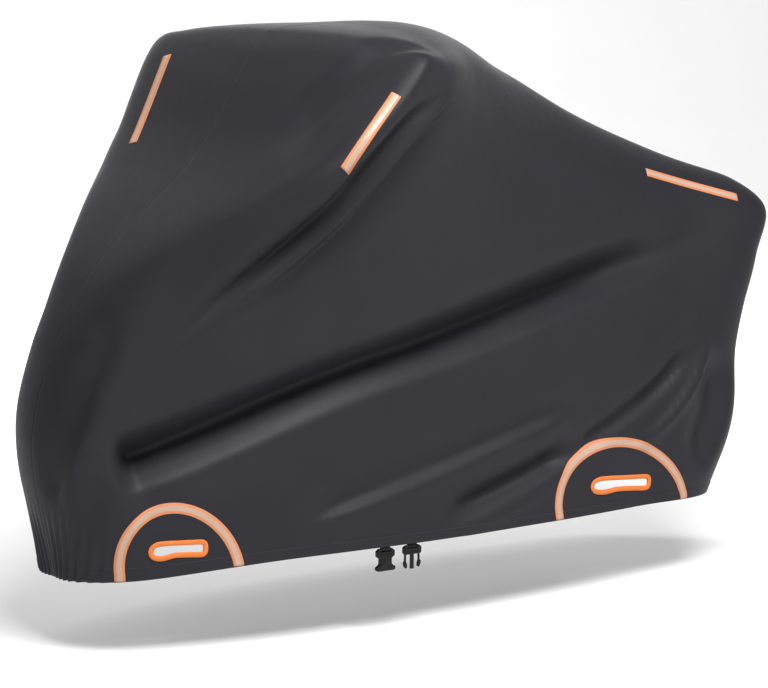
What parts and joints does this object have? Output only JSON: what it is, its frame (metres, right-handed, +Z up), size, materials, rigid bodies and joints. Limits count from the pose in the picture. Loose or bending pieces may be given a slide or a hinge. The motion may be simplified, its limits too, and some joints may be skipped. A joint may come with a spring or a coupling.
{
  "type": "motorcycle cover",
  "caption": "Hollow fitted cover of dark coated cloth, draped as over a parked motorcycle, open below, with reflective tape, bound lock slots and strap buckle halves.",
  "frame": {"origin": "under the top of the cover, on the centre seam behind the bars, where the machine carries it", "axes": "+X from the front to the tail, +Z up, so the near side with the buckles is at -Y"},
  "size_m": [2.1779, 1.0488, 1.2898],
  "materials": {
    "cloth": "charcoal coated plain-weave cloth, soft satin",
    "reflective_tape": "orange edged tape with a pale reflective middle",
    "binding": "bright orange folded binding tape",
    "webbing": "black woven webbing",
    "buckle": "black moulded plastic"
  },
  "bodies": {
    "root": {"panel_near": "cloth", "panel_far": "cloth", "arch_front_near": "reflective_tape", "arch_front_far": "reflective_tape", "arch_rear_near": "reflective_tape", "arch_rear_far": "reflective_tape", "strip_front_near": "reflective_tape", "strip_front_far": "reflective_tape", "strip_rear_near": "reflective_tape", "strip_rear_far": "reflective_tape", "binding_front_near": "binding", "binding_front_far": "binding", "binding_rear_near": "binding", "binding_rear_far": "binding", "webbing_female": "webbing", "buckle_female": "buckle", "webbing_male": "webbing", "buckle_male": "buckle"}
  },
  "joints": []
}
